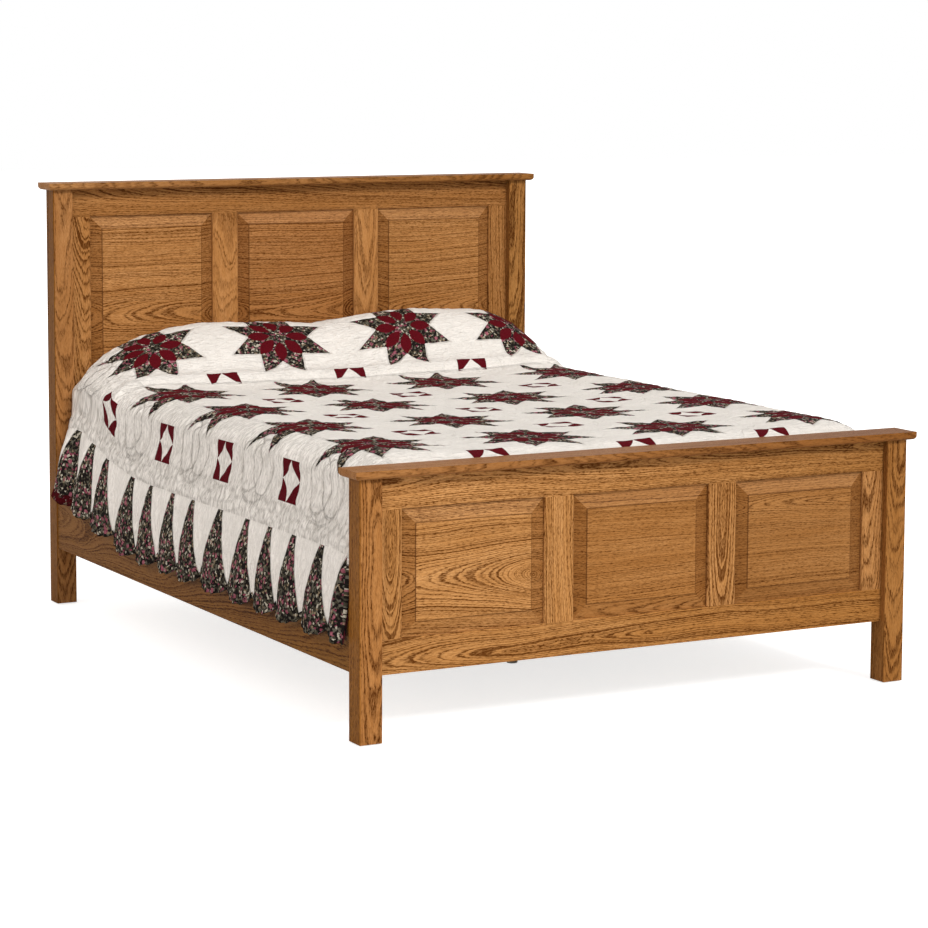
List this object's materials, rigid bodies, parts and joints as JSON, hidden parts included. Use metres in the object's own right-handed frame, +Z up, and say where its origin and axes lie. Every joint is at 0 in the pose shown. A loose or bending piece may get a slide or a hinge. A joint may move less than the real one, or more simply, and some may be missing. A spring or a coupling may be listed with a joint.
{
  "type": "panel bed",
  "caption": "Wooden panel bed with raised-panel headboard and footboard, side rails, slats on levelling legs, box spring, mattress, pillows and a patchwork quilt.",
  "frame": {"origin": "on the floor under the middle of the bed, at the bottom centre of its box", "axes": "+Z up, +Y towards the headboard, +X to the right seen from the foot"},
  "size_m": [1.732, 2.229, 1.318],
  "materials": {
    "oak": "clear satin lacquer over golden brown stain",
    "hardwood": "unfinished planed hardwood",
    "steel": "zinc plated",
    "glide_plastic": "moulded nylon",
    "ticking": "quilted woven ticking",
    "pillow_cotton": "plain cotton",
    "quilt_cotton": "hand quilted cotton patchwork"
  },
  "bodies": {
    "bed": {"foot_cap": "oak", "foot_cap_dowels": "hardwood", "foot_bottom_rail": "oak", "foot_top_rail": "oak", "foot_left_stile": "oak", "foot_left_middle_stile": "oak", "foot_right_middle_stile": "oak", "foot_right_stile": "oak", "foot_left_panel": "oak", "foot_middle_panel": "oak", "foot_right_panel": "oak", "foot_left_post": "oak", "foot_right_post": "oak", "head_cap": "oak", "head_cap_dowels": "hardwood", "head_bottom_rail": "oak", "head_top_rail": "oak", "head_left_stile": "oak", "head_left_middle_stile": "oak", "head_right_middle_stile": "oak", "head_right_stile": "oak", "head_left_panel": "oak", "head_middle_panel": "oak", "head_right_panel": "oak", "head_left_post": "oak", "head_right_post": "oak", "left_side_rail": "oak", "left_cleat": "hardwood", "right_side_rail": "oak", "right_cleat": "hardwood", "slat_1": "hardwood", "slat_2": "hardwood", "slat_3": "hardwood", "slat_4": "hardwood", "slat_5": "hardwood", "support_leg_1": "hardwood", "support_leg_2": "hardwood", "support_leg_3": "hardwood", "rail_hook_plates": "steel", "post_hook_plates": "steel", "hook_plate_screws": "steel", "cleat_screws": "steel", "slat_screws": "steel", "leg_inserts": "steel", "leg_screws": "steel", "post_glides": "glide_plastic", "box_spring": "ticking", "mattress": "ticking", "left_pillow": "pillow_cotton", "right_pillow": "pillow_cotton", "quilt": "quilt_cotton"},
    "level_foot_1": {"levelling_foot_1": "steel"},
    "level_foot_2": {"levelling_foot_2": "steel"},
    "level_foot_3": {"levelling_foot_3": "steel"}
  },
  "joints": [
    {"name": "foot_screw_1", "type": "slide", "parent": "bed", "child": "level_foot_1", "axis": [0, 0, 1], "range_m": [-0.01, 0.01]},
    {"name": "foot_screw_2", "type": "slide", "parent": "bed", "child": "level_foot_2", "axis": [0, 0, 1], "range_m": [-0.01, 0.01]},
    {"name": "foot_screw_3", "type": "slide", "parent": "bed", "child": "level_foot_3", "axis": [0, 0, 1], "range_m": [-0.01, 0.01]}
  ]
}
